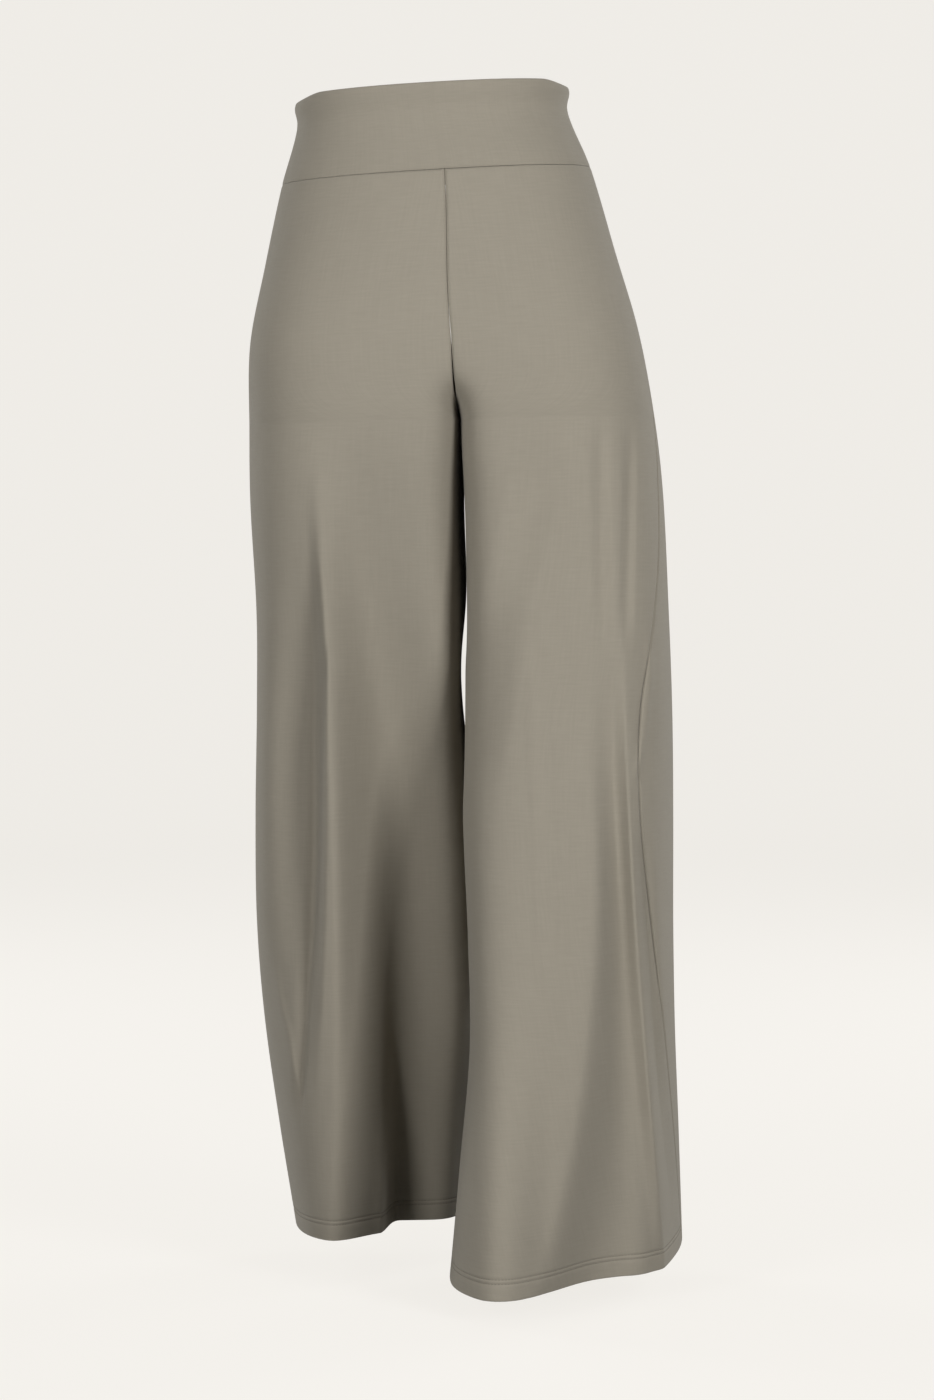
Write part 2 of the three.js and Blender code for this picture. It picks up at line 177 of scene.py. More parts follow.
# outside and inside say how boxy each half of the section is, where 2 is an ellipse. seam is where the
# side seam lies, in degrees round the leg from the inseam through the back.
SHAPE = {
    "left": table(
        ("level", "outside", "inside", "seam"),
        (26, 2.2, 2.2, 182), (-54, 2.35, 2.35, 182), (-196, 2.75, 2.75, 184), (-240, 2.6, 3.6, 184),
        (-272, 2.5, 4.2, 185), (-440, 2.3, 3.6, 186), (-620, 2.1, 3.1, 188), (-820, 2.3, 3, 190),
        (-1012, 2.8, 3, 192),
    ),
    "right": table(
        ("level", "outside", "inside", "seam"),
        (26, 2.2, 2.2, 180), (-54, 2.35, 2.35, 178), (-196, 2.75, 2.75, 172), (-240, 2.6, 3.6, 168),
        (-272, 2.5, 4.2, 164), (-340, 2.4, 4, 150), (-440, 2.5, 3.6, 133), (-520, 2.5, 3.3, 122),
        (-620, 2.4, 3.4, 122), (-720, 2.3, 3.9, 128), (-820, 2.3, 4.3, 137), (-920, 2.2, 4.4, 149),
        (-1032, 2.2, 4.4, 164),
    ),
}

# %% [markdown]
# ## The folds
# Long folds hang from where the cloth leaves the seat and grow towards the hem. Each row is one fold: the
# face of the leg that it lies on, the levels where it starts and ends, where it lies at the top, the
# middle and the hem, how far it reaches to its two sides, and how deep it is. A depth below zero is a
# trough. `peak` is where along its length it is deepest, `end` is the share of its depth left at the
# lower end, `late` holds its growth back, and `crisp` pinches its line from round (0) to sharp (1).

# %% The large folds, a row for each
FOLD_COLUMNS = (
    "face", "start", "stop", "top", "middle", "hem", "minus", "plus", "spread", "depth", "peak", "end",
    "late", "crisp",
)
FOLDS = {
    "left": table(
        FOLD_COLUMNS,
        ("back", -260, -1012, 62, 36, 34, 110, 66, 0.74, -92, 0.64, 0.55, 0.8, 0),
        ("back", -700, -1012, 31, 32, 34, 90, 17, 1, -70, 1, 1, 1, 0),
        ("back", -290, -905, 110, 106, 122, 14, 56, 1, -38, 0.5, 0, 1, 0),
        ("front", -230, -1012, 70, 64, 60, 34, 34, 1, -13, 1, 1, 1, 0),
        ("front", -320, -1012, 112, 112, 108, 26, 26, 1, -8, 0.8, 0.8, 1, 0),
        ("outer", -420, -1012, -70, -170, -270, 40, 40, 1, -8, 1, 1, 1, 0),
    ),
    "right": table(
        FOLD_COLUMNS,
        ("back", -420, -1032, -134, -169, -146, 60, 58, 0.36, -34, 1, 1, 1, 0),
        ("back", -400, -980, -150, -163, -168, 14, 18, 1, -6, 0.5, 0.2, 1, 0.3),
        ("back", -400, -1020, -163, -178, -207, 16, 12, 1, 11, 0.5, 0.8, 1, 0.6),
        ("back", -700, -1032, -70, -62, -58, 45, 40, 1, 20, 1, 1, 1, 0),
        ("front", -240, -1032, -80, -82, -84, 32, 32, 1, -14, 1, 1, 1, 0),
        ("front", -300, -1032, -140, -150, -160, 34, 34, 1, -16, 0.8, 0.9, 1, 0),
    ),
}

# %% [markdown]
# Between the large folds lie small ones, which only the fine cloth shows. Their lines bend, so each has a
# short path of its own, as levels and places across the face, and fades out at both ends.

# %% The small folds
WRINKLE_COLUMNS = ("face", "path", "minus", "plus", "depth", "fade", "crisp")
WRINKLES = {
    "left": table(
        WRINKLE_COLUMNS,
        ("back", ((-450, 92), (-541, 97), (-609, 101), (-721, 108), (-788, 114), (-905, 122)),
         4, 13, -7, 50, 0.7),
        ("back", ((-740, 145), (-789, 138), (-817, 132), (-844, 128), (-893, 119)), 6, 10, 2.4, 50, 0.6),
        ("front", ((-70, 96), (-170, 104), (-300, 110)), 22, 20, -2.5, 60, 0.1),
        ("front", ((-210, 10), (-250, 40), (-300, 74)), 12, 12, -2, 40, 0.2),
    ),
    "right": table(
        WRINKLE_COLUMNS,
        ("back", ((-270, -102), (-340, -88), (-390, -76), (-441, -60), (-510, -50), (-610, -36)),
         26, 24, -4, 70, 0),
        ("back", ((-255, -146), (-360, -148), (-480, -150)), 10, 11, -3.2, 60, 0.2),
        ("back", ((-255, -172), (-360, -171), (-480, -168)), 8, 9, -3, 60, 0.2),
        ("back", ((-440, -186), (-492, -190), (-521, -187), (-553, -183), (-575, -178), (-596, -168)),
         5, 6, 2.4, 40, 0.4),
        ("back", ((-600, -180), (-734, -190), (-812, -195), (-931, -207), (-1000, -217)),
         12, 8, -6, 70, 0.4),
        ("back", ((-440, -84), (-600, -92), (-780, -98)), 7, 9, 0.9, 90, 0.2),
        ("back", ((-480, -108), (-640, -114), (-800, -112)), 8, 8, 0.8, 90, 0.2),
        ("front", ((-80, -100), (-190, -112), (-310, -120)), 22, 20, -2.5, 60, 0.1),
        ("front", ((-210, -52), (-250, -80), (-300, -112)), 12, 12, -2, 40, 0.2),
    ),
}

# %% [markdown]
# ## Curves through the tables
# A pattern cutter joins measured points with a French curve. The same is done here with a smooth curve
# through each column, because straight lines between rows would show as bands on the cloth.

# %% Curves through the tables


def mix(a, b, t):
    return a + (b - a) * t


def smooth(t):
    t = np.clip(t, 0, 1)
    return t * t * (3 - 2 * t)


def smoother(t):
    t = np.clip(t, 0, 1)
    return t * t * t * (10 - 15 * t + 6 * t * t)


def along(rows, column, level):
    """A smooth curve through one column of a table whose rows run downwards."""
    levels = [row["level"] for row in rows]
    values = [row[column] for row in rows]
    if level >= levels[0]:
        return values[0]
    if level <= levels[-1]:
        return values[-1]
    i = next(k for k in range(len(rows) - 1) if level >= levels[k + 1])

    def slope(k):
        a, b = max(0, k - 1), min(len(rows) - 1, k + 1)
        return (values[b] - values[a]) / (levels[b] - levels[a])

    span = levels[i + 1] - levels[i]
    t = (level - levels[i]) / span
    bend = t * (1 - t) * span
    return float(mix(values[i], values[i + 1], smooth(t)) + bend * ((1 - t) * slope(i) - t * slope(i + 1)))


# %% [markdown]
# ## One section of a leg
# The plain section is a rounded box. Above the fork it is half of the body, mirrored in the centre line,
# and between the seat and the crotch it parts from the other leg, which draws the curve of the crotch
# seam by itself. Its outer and inner halves meet at an axis that moves slowly from the centre line to the
# middle of the leg. A fold then moves each point along the normal of the face that it lies on, so its
# place across the leg stays put however deep it is.

# %% The plain section and its folds
SAMPLES = 900
ROOM_SHARE = 0.8
ROOM_POWER = 6
FACING_REACH = 1.4      # a fold has its full depth where the cloth faces its way by 1 / 1.4 or more
HALVINGS = 40


def plain_section(side, level):
    outline, shape = OUTLINE[side], SHAPE[side]
    mid = along(MIDLINE, "mid", level)
    outer = along(outline, "outer", level)
    parted = smoother((FORK_START - level) / (FORK_START - CROTCH))
    leg_inner = along(INSIDE[side], "inner", level)
    inner = mix(2 * mid - outer, mid, parted) if level > CROTCH else leg_inner
    settled = smooth((WAIST_SEAM - level) / (WAIST_SEAM - AXIS_LEVEL))
    axis = mix(mid, (leg_inner + outer) / 2, settled)
    back, front = along(outline, "back", level), along(outline, "front", level)
    return {
        "mid": mid,
        "centre": (axis, (back + front) / 2),
        "half_out": abs(outer - axis),
        "half_in": abs(axis - inner),
        "half_y": (back - front) / 2,
        "outside": along(shape, "outside", level),
        "inside": along(shape, "inside", level),
        "lean": along(INSIDE[side], "lean", level),
        "skew": along(outline, "skew", level),
    }


def plain_points(side, plain, turns):
    c, s = np.cos(turns), np.sin(turns)
    square = np.where(c > 0, plain["inside"], plain["outside"])
    half_x = np.where(c > 0, plain["half_in"], plain["half_out"])
    box = np.abs(c / half_x) ** square + np.abs(s / plain["half_y"]) ** square
    reach = box ** (-1 / square)
    x = plain["centre"][0] - SIDES[side] * reach * c
    off_centre = reach * s
    y = plain["centre"][1] + off_centre - plain["skew"] * ((1 - c) / 2) ** 2
    return x, y, off_centre


def through_three(start, middle, end, run):
    """A curve through three places, at the start, the middle and the end of a run from 0 to 1."""
    return start * (1 - run) * (1 - 2 * run) + middle * 4 * run * (1 - run) + end * run * (2 * run - 1)


def fold_profile(offset, minus, plus, crisp):
    q = np.minimum(1, np.abs(offset) / np.where(offset < 0, minus, plus))
    return mix((1 - q * q) ** 2, (1 - q) ** 2, crisp)


def facing_share(face, turns):
    facing = {"back": np.sin(turns), "front": -np.sin(turns), "outer": -np.cos(turns)}[face]
    return smooth(facing * FACING_REACH)


def fold_depth(fold, across, level):
    run = min(1, max(0, (fold["start"] - level) / (fold["start"] - fold["stop"])))
    if run < fold["peak"]:
        grown = smooth(run / fold["peak"]) ** fold["late"]
    else:
        grown = mix(1, fold["end"], smooth((run - fold["peak"]) / max(1 - fold["peak"], 1e-6)))
    offset = across - through_three(fold["top"], fold["middle"], fold["hem"], run)
    spread = mix(fold["spread"], 1, run * run)
    return fold["depth"] * grown * fold_profile(offset, fold["minus"] * spread, fold["plus"] * spread,
                                                fold["crisp"])


def wrinkle_depth(wrinkle, across, level):
    path = wrinkle["path"]
    top, bottom = path[0][0], path[-1][0]
    if not bottom < level < top:
        return 0 * across
    place = along([{"level": step, "x": x} for step, x in path], "x", level)
    grown = smooth((top - level) / wrinkle["fade"]) * smooth((level - bottom) / wrinkle["fade"])
    return wrinkle["depth"] * grown * fold_profile(across - place, wrinkle["minus"], wrinkle["plus"],
                                                   wrinkle["crisp"])


def limited(pull, room):
    """A trough never reaches the far side of the leg, however many folds add up."""
    share = np.maximum(pull, 0) / room
    return pull / (1 + share ** ROOM_POWER) ** (1 / ROOM_POWER)


def folded_points(side, plain, turns, level):
    x, y, off_centre = plain_points(side, plain, turns)
    moved_x, moved_y, pull = x.copy(), y.copy(), 0 * y
    moves = [(fold, fold_depth) for fold in FOLDS[side]]
    moves += [(wrinkle, wrinkle_depth) for wrinkle in WRINKLES[side]]
    for fold, depth_of in moves:
        face = fold["face"]
        depth = depth_of(fold, y if face == "outer" else x, level) * facing_share(face, turns)
        if face == "outer":
            moved_x += SIDES[side] * depth
        elif face == "front":
            moved_y -= depth
        else:
            pull -= depth
    moved_y -= limited(pull, ROOM_SHARE * np.maximum(off_centre, 0.01))
    inwards = (1 + np.cos(turns)) / 2
    moved_x += plain["lean"] * (y - LEAN_FROM) * inwards
    return moved_x, moved_y


def centre_turn(side, plain, near, far):
    """The angle at which the section meets the centre line."""
    def past(turn):
        x = plain_points(side, plain, np.array([turn]))[0][0]
        return SIDES[side] * (x - plain["mid"]) > 0

    if past(near):
        return near
    for _ in range(HALVINGS):
        middle = (near + far) / 2
        if past(middle):
            far = middle
        else:
            near = middle
    return far


def section_line(side, level):
    """The line of cloth round one section. length runs along the plain section, so that a column of
    the grid stays on its fold, and cloth runs along the folded one, as a tape would."""
    plain = plain_section(side, level)
    closed = level <= CROTCH
    start = 0 if closed else centre_turn(side, plain, 0, math.pi / 2 + 0.3)
    end = 2 * math.pi if closed else centre_turn(side, plain, 2 * math.pi, 1.5 * math.pi - 0.3)
    turns = np.linspace(start, end, SAMPLES + 1)
    x, y, _ = plain_points(side, plain, turns)
    length = np.concatenate([[0], np.cumsum(np.hypot(np.diff(x), np.diff(y)))])
    seam_turn = math.radians(along(SHAPE[side], "seam", level))
    fx, fy = folded_points(side, plain, turns, level)
    cloth = np.concatenate([[0], np.cumsum(np.hypot(np.diff(fx), np.diff(fy)))])
    return {"x": fx, "y": fy, "length": length, "cloth": cloth,
            "seam": float(np.interp(seam_turn, turns, length))}


def height(side, level, x, y):
    """The waist is tilted, and the hem rises towards the front."""
    tilt = WAIST_TILT * min(1, max(0, (level - LEVEL_HIP) / (WAIST_SEAM - LEVEL_HIP)))
    hem = HEMS[side]
    back, front = along(OUTLINE[side], "back", level), along(OUTLINE[side], "front", level)
    near = smooth((hem["back"] + HEM_FADE - level) / HEM_FADE)
    return level + tilt * x + hem["rise"] * near * np.clip((back - y) / (back - front), 0, 1)


line = section_line("right", -700)
print("plain round at level -700:", round(float(line["length"][-1])), "mm")

# %% [markdown]
# ## Cloth as a grid
# A woven or knitted sheet is a grid, so each panel is one too: rows down the leg, columns round it. Rows
# and columns crowd together at the edges, because a seam is a fine ditch where both edges roll inwards.
# The edges then run on inside as the seam allowance. The hem turns up inside in the same grid, and a
# Solidify step gives the layer its thickness at the end.

# %% The rows and columns of a panel
EDGE_STEPS = np.array([0, 0.35, 0.75, 1.2, 1.8, 2.6, 3.8])
DITCH_DEPTH = 1.3
DITCH_REACH = 1.3
COLUMNS = 150
ROW_STEP = 5.0
FORK_ROWS = 40
FORK_CROWDING = 1.5   # the rows of the fork crowd together at the crotch
# Rows above the hem, close together where the stitches are.
ABOVE_HEM = (22, 21.2, 20.4, 19.6, 18.8, 18, 17.2, 16.4, 15.6, 14.8, 14, 12, 9, 6, 3.5, 1.5, 0.4)


def crowded(length, count):
    """Places from 0 to length, even in the middle and crowded at both ends."""
    inner = np.linspace(EDGE_STEPS[-1], length - EDGE_STEPS[-1], count)
    return np.concatenate([EDGE_STEPS[:-1], inner, (length - EDGE_STEPS[:-1])[::-1]])


def panel_levels(side):
    top = WAIST_SEAM - SEAM_GAP / 2
    seat = np.concatenate([top - EDGE_STEPS[:-1], np.arange(top - EDGE_STEPS[-1], FORK_START, -ROW_STEP)])
    fork = [mix(CROTCH, FORK_START, (1 - k / FORK_ROWS) ** FORK_CROWDING)
            for k in range(FORK_ROWS)]
    hem = HEMS[side]["back"]
    stop = hem + HEM_TURN + 3
    leg = np.linspace(CROTCH, stop, round((CROTCH - stop) / ROW_STEP))
    low = hem + np.array(ABOVE_HEM)
    return np.concatenate([seat, fork, leg, low])


def grid_normals(points, sense):
    down = np.gradient(points, axis=0)
    across = np.gradient(points, axis=1)
    normals = np.cross(across, down) * sense
    return normals / np.maximum(np.linalg.norm(normals, axis=2, keepdims=True), 1e-9)


def panel_grid(side, face):
    rows, distances, lengths = [], [], []
    levels = panel_levels(side)
    for level in levels:
        line = section_line(side, float(level))
        total = line["length"][-1]
        start = (0 if face == "back" else line["seam"]) + SEAM_GAP / 2
        end = (line["seam"] if face == "back" else total) - SEAM_GAP / 2
        goals = start + crowded(end - start, COLUMNS)
        x = np.interp(goals, line["length"], line["x"])
        y = np.interp(goals, line["length"], line["y"])
        rows.append(np.stack([x, y, height(side, float(level), x, y)], axis=1))
        distances.append(np.minimum(goals - start, end - goals))
        taped = np.interp([start, end], line["length"], line["cloth"])
        lengths.append(float(taped[1] - taped[0]))
    return levels, np.array(rows), np.array(distances), np.array(lengths)


levels, rows, distances, lengths = panel_grid("right", "back")
print("right back:", rows.shape, "waist", round(lengths[0]), "mm, hem", round(lengths[-1]), "mm of cloth")

# %% [markdown]
# ## The hem stitches
# A twin needle sews the hem with two parallel rows of thread. The rows could be lines in the material,
# but real thread stands a little proud and sinks where the needle went in. So each stitch is a small bar
# of four rings, placed along the row of the grid that lies at its height.

# %% Thread bars
STITCH_SPACING = 3.0
STITCH_LENGTH = 2.4
STITCH_RADIUS = 0.24
STITCH_SIDES = 5
# Four rings make a bar: the place along it, the share of its radius, and how far it stands off the cloth.
STITCH_RINGS = ((-0.5, 0.15, -0.25), (-0.32, 1, 0.12), (0.32, 1, 0.12), (0.5, 0.15, -0.25))
STITCH_FLATNESS = 0.8


def row_of_stitches(line, normals):
    """Small thread bars along a line of points. Each is thick in the middle and sinks at its ends."""
    steps = np.linalg.norm(np.diff(line, axis=0), axis=1)
    length = np.concatenate([[0], np.cumsum(steps)])
    bars = []
    for middle in np.arange(STITCH_SPACING, length[-1] - STITCH_SPACING, STITCH_SPACING):
        ring = []
        for share, swell, lift in STITCH_RINGS:
            place = middle + share * STITCH_LENGTH
            point = np.array([np.interp(place, length, line[:, k]) for k in range(3)])
            normal = np.array([np.interp(place, length, normals[:, k]) for k in range(3)])
            up = np.array([0, 0, 1.0])
            for k in range(STITCH_SIDES):
                turn = 2 * math.pi * k / STITCH_SIDES
                spoke = normal * math.cos(turn) * STITCH_FLATNESS + up * math.sin(turn)
                out = spoke * STITCH_RADIUS * swell
                ring.append(point + normal * lift + out)
        bars.append(ring)
    return bars


def make_stitches(name, bars):
    vertices, faces = [], []
    sides = STITCH_SIDES
    for bar in bars:
        first = len(vertices)
        vertices.extend((np.array(bar) * MM).tolist())
        for ring in range(3):
            for k in range(sides):
                a, b = first + ring * sides + k, first + ring * sides + (k + 1) % sides
                faces.append((a, b, b + sides, a + sides))
        faces.append(tuple(first + k for k in reversed(range(sides))))
        faces.append(tuple(first + 3 * sides + k for k in range(sides)))
    mesh = bpy.data.meshes.new(name)
    mesh.from_pydata(vertices, [], faces)
    cut = mesh.attributes.new("cut", "FLOAT_VECTOR", "POINT")
    cut.data.foreach_set("vector", np.array(vertices, dtype=np.float32).ravel())
    mesh.shade_smooth()
    piece = bpy.data.objects.new(name, mesh)
    scene.collection.objects.link(piece)
    return piece


print("stitch", STITCH_LENGTH, "mm long, one every", STITCH_SPACING, "mm")

# %% [markdown]
# ## Finishing a panel
# Three small things make it cloth. The seam edges sink into their ditch and run on inside as the
# allowance. A very low, slow noise keeps the surface from being drawn with a ruler. And the hem is rolled
# under and carried up inside, with two shallow lines where the twin needle pulls it together.

# %% Helpers that finish and build a panel
ALLOWANCE = (1.2, 3.2, 6.0)
HEM_TAPER = 0.06       # the allowances shrink to this share at the hem
HEM_TAPER_REACH = 12
WAIST_DITCH = (1.05, 0.3)  # at the centre and at the sides
WAIST_DITCH_CENTRE = -12
WAIST_DITCH_REACH = 130
WAVE = 0.7             # the slow unevenness of the surface
WAVE_SIZE = 70
WAVE_FROM = 60
GROOVE_DEPTH = 0.55
GROOVE_REACH = 0.9
ROLL_ANGLES = (30, 65, 100, 135, 170)
TURNED_ROWS = (1.5, 4, 8, 12, 16, HEM_TURN)
STITCH_HEIGHTS = (18.8, 14.8)
HEM_LAYER = 2.1


def soft_noise(points, size, seed):
    flat = points.reshape(-1, 3) / size
    values = [noise.noise(Vector((p[0] + seed, p[1] * 0.7, p[2] * 0.45))) for p in flat]
    return np.array(values).reshape(points.shape[:2])


def waist_ditch_depth(x):
    """The waist seam is pulled in most at the centre and lies flatter at the sides."""
    away = np.abs(x - WAIST_DITCH_CENTRE)
    return mix(*WAIST_DITCH, smooth(away / WAIST_DITCH_REACH))


def mesh_from_grid(name, points, sense, coordinates):
    """A grid of points in millimetres becomes a mesh in metres, with its cut coordinates."""
    rows, columns = points.shape[:2]
    index = np.arange(rows * columns).reshape(rows, columns)
    a, b, c, d = index[:-1, :-1], index[:-1, 1:], index[1:, 1:], index[1:, :-1]
    corners = (a, b, c, d) if sense > 0 else (a, d, c, b)
    faces = np.stack(corners, axis=-1).reshape(-1, 4)
    mesh = bpy.data.meshes.new(name)
    mesh.from_pydata((points.reshape(-1, 3) * MM).tolist(), [], faces.tolist())
    cut = mesh.attributes.new("cut", "FLOAT_VECTOR", "POINT")
    cut.data.foreach_set("vector", coordinates.reshape(-1, 3).astype(np.float32).ravel())
    piece = bpy.data.objects.new(name, mesh)
    scene.collection.objects.link(piece)
    return piece


def thicken(piece, thickness):
    """Gives a sheet its thickness on its inner side, and smooth shading."""
    solid = piece.modifiers.new("cloth", "SOLIDIFY")
    solid.thickness = thickness * MM
    solid.offset = -1
    bpy.context.view_layer.objects.active = piece
    piece.select_set(True)
    bpy.ops.object.modifier_apply(modifier="cloth")
    piece.select_set(False)
    piece.data.shade_smooth()


def make_panel(side, face):
    sense = SIDES[side]
    levels, points, distances, lengths = panel_grid(side, face)
    normals = grid_normals(points, sense)
    from_waist = (WAIST_SEAM - levels)[:, None]
    ditch = DITCH_DEPTH * np.exp(-((distances / DITCH_REACH) ** 2))
    waist_ditch = waist_ditch_depth(points[:, :, 0]) * np.exp(-((from_waist / DITCH_REACH) ** 2))
    push = -np.maximum(ditch, waist_ditch)
    push += WAVE * soft_noise(points, WAVE_SIZE, 3.1) * smooth(from_waist / WAVE_FROM)
    above_hem = levels - HEMS[side]["back"]
    for stitch in STITCH_HEIGHTS:
        push -= GROOVE_DEPTH * np.exp(-(((above_hem - stitch) / GROOVE_REACH) ** 2))[:, None]
    points = points + normals * push[:, :, None]
    bars = []
    for stitch in STITCH_HEIGHTS:
        row = int(np.argmin(np.abs(above_hem - stitch)))
        bars += row_of_stitches(points[row], normals[row])
    stitches = make_stitches(f"{side}_{face}_stitches", bars)
    plain = points
    # The hem: a small roll, then the turned-up layer inside.
    edge, inward = points[-1], -normals[-1]
    roll = []
    for angle in ROLL_ANGLES:
        turn = math.radians(angle)
        drop = np.array([0, 0, -math.sin(turn) * HEM_LAYER / 2])
        roll.append(edge + inward * (1 - math.cos(turn)) * HEM_LAYER / 2 + drop)
    turned = []
    for rise in TURNED_ROWS:
        row = np.argmin(np.abs(above_hem - rise))
        turned.append(points[row] - normals[row] * HEM_LAYER)
    points = np.concatenate([points, roll, turned])
    normals = grid_normals(points, sense)
    # The seam allowances run inwards from both side edges.
    wings = []
    taper = np.full(len(points), HEM_TAPER)
    taper[:len(levels)] = mix(HEM_TAPER, 1, smooth((above_hem - 1) / HEM_TAPER_REACH))
    for column in (0, -1):
        base, inward = points[:, column], -normals[:, column] * taper[:, None]
        wings.append(np.stack([base + inward * reach for reach in ALLOWANCE], axis=1))
    points = np.concatenate([wings[0][:, ::-1], points, wings[1]], axis=1)
    down = np.concatenate([levels, np.full(len(points) - len(levels), levels[-1])])
    widths = np.linspace(-0.5, 0.5, points.shape[1])
    row_lengths = np.concatenate([lengths, np.full(len(points) - len(lengths), lengths[-1])])
    cut = np.stack([widths[None, :] * row_lengths[:, None] * MM,
                    np.repeat(down[:, None] * MM, points.shape[1], axis=1),
                    np.zeros(points.shape[:2])], axis=2)
    piece = mesh_from_grid(f"{side}_{face}_cloth", points, sense, cut)
    thicken(piece, CLOTH)
    long = float(np.linalg.norm(np.diff(plain[:, plain.shape[1] // 2], axis=0), axis=1).sum()) + HEM_TURN
    quads = np.cross(plain[1:, 1:] - plain[:-1, :-1], plain[1:, :-1] - plain[:-1, 1:])
    area = float(np.linalg.norm(quads, axis=2).sum()) / 2 + lengths[-1] * HEM_TURN
    return piece, stitches, (float(lengths.max()) * MM, long * MM), area * MM * MM


panels = {}
for side in SIDES:
    for face in ("back", "front"):
        piece, stitches, flat, area = make_panel(side, face)
        panels[side, face] = {"piece": piece, "stitches": stitches, "flat": flat, "area": area}
        print(piece.name, "cut", [round(v, 3) for v in flat], "area", round(area, 3), "m2")

# %% [markdown]
# ## The waistband
# A wide strip of the same jersey, folded in half along its top edge, so the edge is a soft round fold and
# not a cut. It is one closed ring here: up the outside, over the fold and down the inside. The top stands
# a few millimetres away from the waist, and small puckers sit above the seam.

# %% Make the waistband
BAND_COLUMNS = 340
BAND_LAYER = 2.6
BAND_TOP = 22          # the folded top edge, which dips at its two sides
CORNER_DIP = 5
CORNER_FROM = 96
CORNER_REACH = 26
PUCKER = 0.28
PUCKER_HEIGHT = 24
BAND_WAVE = 0.5
BAND_CUT_ROUND = 0.72  # metres, for the knit only
BAND_CUT_DEPTH = 0.16
BAND_ROLL_ANGLES = (25, 55, 90, 125, 155, 180)
BAND_PROFILE = table(
    ("level", "flare"),
    (20.4, 0), (17.5, 1.2), (12, 2), (6, 1.7), (-1, 0.5), (-8, 0), (WAIST_SEAM + SEAM_GAP / 2, 0),
)


def band_ring(level, flare):
    turns = np.linspace(0, 2 * math.pi, BAND_COLUMNS, endpoint=False)
    points = np.zeros((BAND_COLUMNS, 3))
    for side in SIDES:
        chosen = (turns < math.pi) if side == "left" else (turns >= math.pi)
        local = math.pi / 2 + (turns[chosen] if side == "left" else 2 * math.pi - turns[chosen])
        x, y, _ = plain_points(side, plain_section(side, level), local)
        away = np.hypot(x, y)
        x, y = x * (1 + flare / away), y * (1 + flare / away)
        dip = CORNER_DIP * smooth(level / BAND_TOP) * smooth((np.abs(x) - CORNER_FROM) / CORNER_REACH)
        points[chosen] = np.stack([x, y, height(side, level, x, y) - dip], axis=1)
    return points


def make_band():
    top, seam = BAND_PROFILE[0]["level"], BAND_PROFILE[-1]["level"]
    up = np.concatenate([seam + EDGE_STEPS, np.arange(seam + 6, top - 1, 3.0), [top]])
    outer = np.array([band_ring(float(level), along(BAND_PROFILE, "flare", float(level))) for level in up])
    centre = outer.mean(axis=1, keepdims=True)
    inward = centre - outer
    inward[:, :, 2] = 0
    inward /= np.linalg.norm(inward, axis=2, keepdims=True)
    ditch = waist_ditch_depth(outer[:, :, 0]) * np.exp(-(((up - seam) / DITCH_REACH) ** 2))[:, None]
    near_seam = smooth((PUCKER_HEIGHT - (up - seam)) / PUCKER_HEIGHT)[:, None]
    pucker = PUCKER * near_seam * soft_noise(outer, 7, 8.2)
    low = BAND_WAVE * soft_noise(outer, 55, 5.5)
    outer = outer + inward * (ditch + pucker + low)[:, :, None]
    roll = []
    for angle in BAND_ROLL_ANGLES:
        turn = math.radians(angle)
        lift = np.array([0, 0, math.sin(turn) * BAND_LAYER / 2])
        roll.append(outer[-1] + inward[-1] * (1 - math.cos(turn)) * BAND_LAYER / 2 + lift)
    inner = [outer[row] + inward[row] * BAND_LAYER for row in range(len(up) - 2, 0, -2)]
    tail = [outer[0] + inward[0] * (BAND_LAYER + reach) for reach in (0, 3, 6)]
    points = np.concatenate([outer, roll, inner, tail])
    points = np.concatenate([points, points[:, :1]], axis=1)
    length = np.linspace(0, BAND_CUT_ROUND, points.shape[1])
    depth = np.linspace(0, BAND_CUT_DEPTH, points.shape[0])
    cut = np.stack(np.broadcast_arrays(length[None, :], depth[:, None], 0.0), axis=2)
    piece = mesh_from_grid("waistband_cloth", points, -1, cut)
    weld = piece.modifiers.new("join", "WELD")
    weld.merge_threshold = 0.01 * MM
    bpy.context.view_layer.objects.active = piece
    bpy.ops.object.modifier_apply(modifier="join")
    thicken(piece, CLOTH)
    around = float(np.linalg.norm(np.diff(outer[:, :, :2], axis=1), axis=2).sum(axis=1).max())
    return piece, around * MM


band, band_round = make_band()
print("waistband round", round(band_round, 3), "m")

# %% [markdown]
# ## The jersey
# The cloth is a soft matt knit in a greyed olive taupe. Close up it is fine columns of loops, and farther
# off only a faint grain and a pale bloom where it turns away, because short fibres stand up and catch the
# light. The knit is a shader group, so the thread can use it too, and the bloom is the shader's sheen.

# %% The knit group and the jersey material


def new_group(name, inputs, outputs):
    group = bpy.data.node_groups.new(name, "ShaderNodeTree")
    for label, kind, value in inputs:
        socket = group.interface.new_socket(label, in_out="INPUT", socket_type=kind)
        socket.default_value = value
    for label, kind in outputs:
        group.interface.new_socket(label, in_out="OUTPUT", socket_type=kind)
    start = group.nodes.new("NodeGroupInput")
    end = group.nodes.new("NodeGroupOutput")
    return group, start, end


def maths(nodes, links, operation, a, b=None, clamp=False):
    node = nodes.new("ShaderNodeMath")
    node.operation = operation
    node.use_clamp = clamp
    for socket, value in zip(node.inputs, (a, b)):
        if value is None:
            continue
        if isinstance(value, (int, float)):
            socket.default_value = value
        else:
            links.new(value, socket)
    return node.outputs[0]


